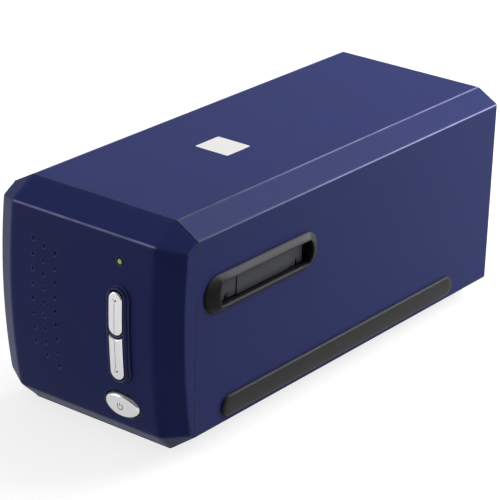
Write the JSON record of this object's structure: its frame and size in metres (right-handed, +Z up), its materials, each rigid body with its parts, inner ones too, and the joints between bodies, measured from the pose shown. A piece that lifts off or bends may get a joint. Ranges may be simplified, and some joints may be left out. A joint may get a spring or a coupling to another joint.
{
  "type": "film negative scanner",
  "caption": "Box-shaped desktop scanner for film strips: blue casing with a curved front, scan and power buttons, a film slot through its sides, and a scan carriage inside.",
  "frame": {"origin": "centre of the footprint, on the surface that the feet stand on", "axes": "+Z up; the front panel with the buttons faces -Y; +Y along the depth to the rear, the longest side; the film slot runs along X"},
  "size_m": [0.12, 0.272, 0.1181],
  "materials": {
    "casing_blue": "fine-textured navy blue plastic, satin",
    "silver_button": "silver-painted plastic, satin",
    "green_light": "green tinted clear plastic",
    "label_white": "white paper sticker, satin",
    "trim_black": "moulded black plastic, satin",
    "flap_grey": "moulded dark grey plastic",
    "steel": "ground bright steel",
    "spring_steel": "spring steel",
    "rubber_black": "moulded black rubber",
    "screw_steel": "zinc-plated steel",
    "board_green": "green solder mask",
    "component_black": "black moulded component",
    "frame_black": "glass-filled black plastic",
    "lever_grey": "acetal, grey",
    "roller_white": "acetal, white",
    "bronze": "sintered bronze",
    "mirror": "front-coated mirror glass",
    "lens_black": "black anodised aluminium",
    "lens_glass": "coated optical glass",
    "lamp_white": "white lamp board",
    "diffuser_white": "milky diffuser plastic",
    "gear_white": "acetal, natural white",
    "motor_zinc": "zinc-plated motor can",
    "capacitor_silver": "aluminium can",
    "socket_steel": "tinned steel shell",
    "ribbon_white": "flat flexible cable"
  },
  "bodies": {
    "casing": {"top_cover": "casing_blue", "bottom_tray": "casing_blue", "front_panel": "casing_blue", "rear_panel": "casing_blue", "status_light": "green_light", "blank_label": "label_white", "right_slot_bezel": "trim_black", "left_slot_bezel": "trim_black", "right_flap_pin": "steel", "left_flap_pin": "steel", "right_flap_springs": "spring_steel", "left_flap_springs": "spring_steel", "right_side_strip": "rubber_black", "left_side_strip": "rubber_black", "rubber_feet": "rubber_black", "case_screws": "screw_steel", "button_board": "board_green", "button_switches": "component_black", "button_board_screws": "screw_steel", "inner_frame": "frame_black", "frame_screws": "screw_steel", "film_bed": "frame_black", "film_guide_cover": "frame_black", "film_bed_screws": "screw_steel", "index_lever_pin": "steel", "index_spring": "spring_steel", "main_guide_rod": "steel", "side_guide_rod": "steel", "screw_bearings": "bronze", "stepper_motor": "motor_zinc", "home_sensor": "component_black", "main_board": "board_green", "board_chips": "component_black", "board_capacitors": "capacitor_silver", "usb_socket": "socket_steel", "power_socket": "component_black"},
    "upper_button": {"upper_scan_button": "silver_button"},
    "lower_button": {"lower_scan_button": "silver_button"},
    "power_key": {"power_button": "silver_button"},
    "right_flap": {"right_dust_flap": "flap_grey"},
    "left_flap": {"left_dust_flap": "flap_grey"},
    "index_arm": {"index_lever": "lever_grey"},
    "index_wheel": {"index_roller": "roller_white"},
    "carriage": {"scan_carriage": "frame_black", "rod_bushes": "bronze", "optics_cover": "frame_black", "scan_mirror": "mirror", "lens_barrel": "lens_black", "lens_glass": "lens_glass", "sensor_board": "board_green", "line_sensor": "component_black", "lamp_arm": "frame_black", "lamp_board": "lamp_white", "lamp_diffuser": "diffuser_white", "feed_nut": "bronze", "ribbon_cable": "ribbon_white"},
    "feed_drive": {"feed_screw": "steel", "screw_gear": "gear_white"},
    "motor_rotor": {"motor_pinion": "bronze"}
  },
  "joints": [
    {"name": "upper_button_press", "type": "slide", "parent": "casing", "child": "upper_button", "axis": [0, 1, 0], "range_m": [0, 0.0008], "stiffness_N_per_m": 900, "springref_m": -0.0006},
    {"name": "lower_button_press", "type": "slide", "parent": "casing", "child": "lower_button", "axis": [0, 1, 0], "range_m": [0, 0.0008], "stiffness_N_per_m": 900, "springref_m": -0.0006},
    {"name": "power_button_press", "type": "slide", "parent": "casing", "child": "power_key", "axis": [0, 1, 0], "range_m": [0, 0.0008], "stiffness_N_per_m": 900, "springref_m": -0.0006},
    {"name": "right_flap_swing", "type": "hinge", "parent": "casing", "child": "right_flap", "pos_m": [0.0546, -0.0662, 0.0856], "axis": [0, 1, 0], "range_deg": [0, 75], "stiffness_Nm_per_rad": 0.0015, "springref_deg": -20.05},
    {"name": "left_flap_swing", "type": "hinge", "parent": "casing", "child": "left_flap", "pos_m": [-0.0546, -0.0662, 0.0856], "axis": [0, -1, 0], "range_deg": [0, 75], "stiffness_Nm_per_rad": 0.0015, "springref_deg": -20.05},
    {"name": "index_lever_tilt", "type": "hinge", "parent": "casing", "child": "index_arm", "pos_m": [0.0415, -0.0662, 0.066], "axis": [0, -1, 0], "range_deg": [0, 6], "stiffness_Nm_per_rad": 0.02, "springref_deg": -17.19, "deforming": ["index_spring"]},
    {"name": "index_roller_spin", "type": "hinge", "parent": "index_arm", "child": "index_wheel", "pos_m": [0.031, -0.0662, 0.0706], "axis": [0, 1, 0], "continuous": true},
    {"name": "carriage_slide", "type": "slide", "parent": "casing", "child": "carriage", "axis": [0, -1, 0], "range_m": [0, 0.028], "deforming": ["ribbon_cable"]},
    {"name": "feed_screw_turn", "type": "hinge", "parent": "casing", "child": "feed_drive", "pos_m": [-0.04, 0, 0.036], "axis": [0, 1, 0], "range_deg": [0, 2521]},
    {"name": "motor_turn", "type": "hinge", "parent": "casing", "child": "motor_rotor", "pos_m": [-0.04, 0.11, 0.0528], "axis": [0, 1, 0], "range_deg": [-7563, 0]}
  ],
  "couplings": [
    {"joint": "feed_screw_turn", "follows": "carriage_slide", "rad_per_m": 1570.8},
    {"joint": "motor_turn", "follows": "carriage_slide", "rad_per_m": -4712.4}
  ]
}
